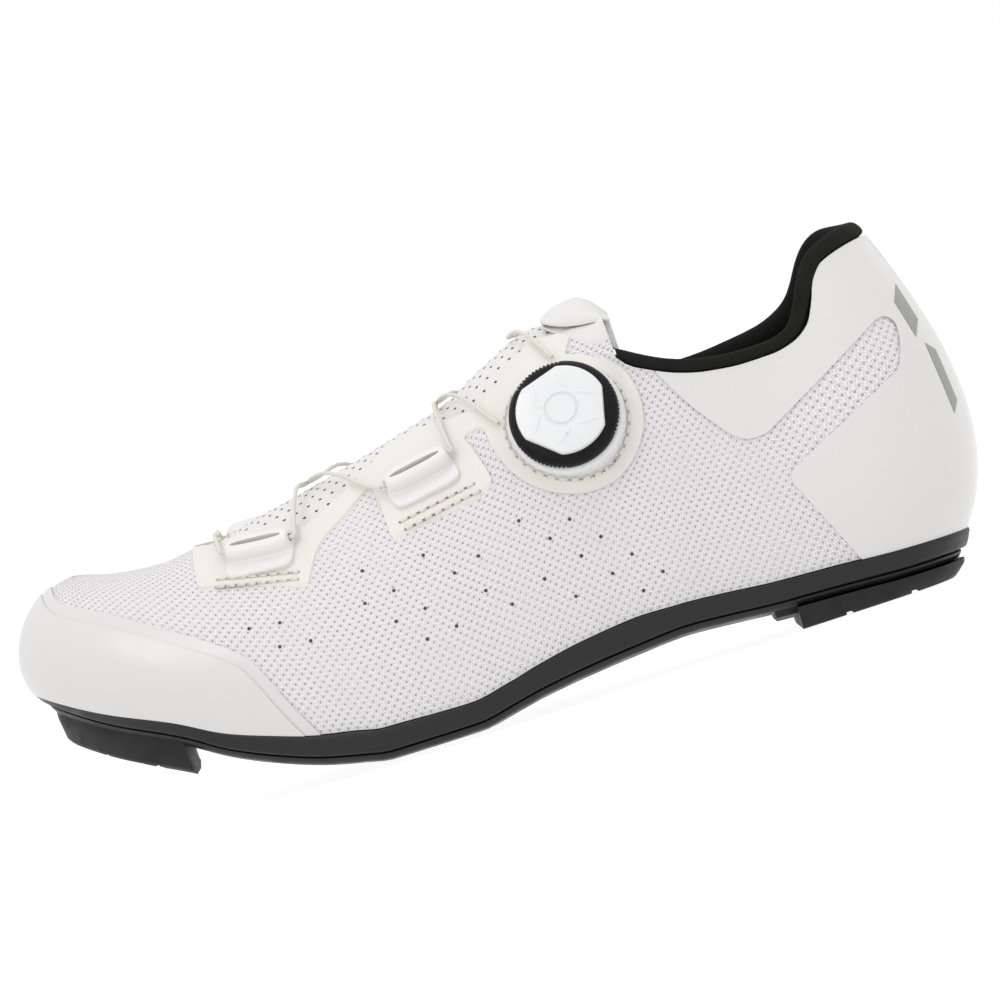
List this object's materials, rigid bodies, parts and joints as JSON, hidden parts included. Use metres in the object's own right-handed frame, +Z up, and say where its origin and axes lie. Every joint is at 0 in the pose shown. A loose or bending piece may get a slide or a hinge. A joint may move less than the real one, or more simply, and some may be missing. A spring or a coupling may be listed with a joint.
{
  "type": "cycling shoe",
  "caption": "Left road cycling shoe: knitted upper on a stiff moulded sole, closed by a lace dial, with toe and heel treads.",
  "frame": {"origin": "middle of the heel tread's flat bottom, on the floor plane", "axes": "-X to the toe, -Y to the outer side of the foot, +Z up"},
  "size_m": [0.2878, 0.0967, 0.1114],
  "materials": {
    "black_plate": "satin moulded",
    "black_rubber": "matt moulded rubber",
    "white_knit": "knitted, matt",
    "gloss_film": "smooth gloss film",
    "cream_film": "smooth film",
    "white_moulded": "satin moulded",
    "black_moulded": "satin moulded",
    "black_textile": "brushed textile",
    "white_microfibre": "perforated microfibre",
    "off_white_lace": "woven lace"
  },
  "bodies": {
    "root": {"outsole": "black_plate", "heel_tread": "black_rubber", "heel_tread_lip": "black_rubber", "toe_tread": "black_rubber", "insole": "black_textile", "upper": "white_knit", "toe_cap": "gloss_film", "heel_film": "gloss_film", "eyestay_lateral": "cream_film", "eyestay_medial": "cream_film", "dial_patch": "cream_film", "dial_housing": "white_moulded", "dial_ring": "black_moulded", "dial_cap": "white_moulded", "tongue": "white_microfibre", "pull_tab": "white_microfibre", "collar_binding": "black_textile", "guide_lateral_front": "white_moulded", "guide_lateral_middle": "white_moulded", "guide_medial_front": "white_moulded", "guide_medial_middle": "white_moulded", "guide_medial_rear": "white_moulded", "lace_front": "off_white_lace", "lace_crossing_front": "off_white_lace", "lace_crossing_rear": "off_white_lace", "lace_rear": "off_white_lace"}
  },
  "joints": []
}
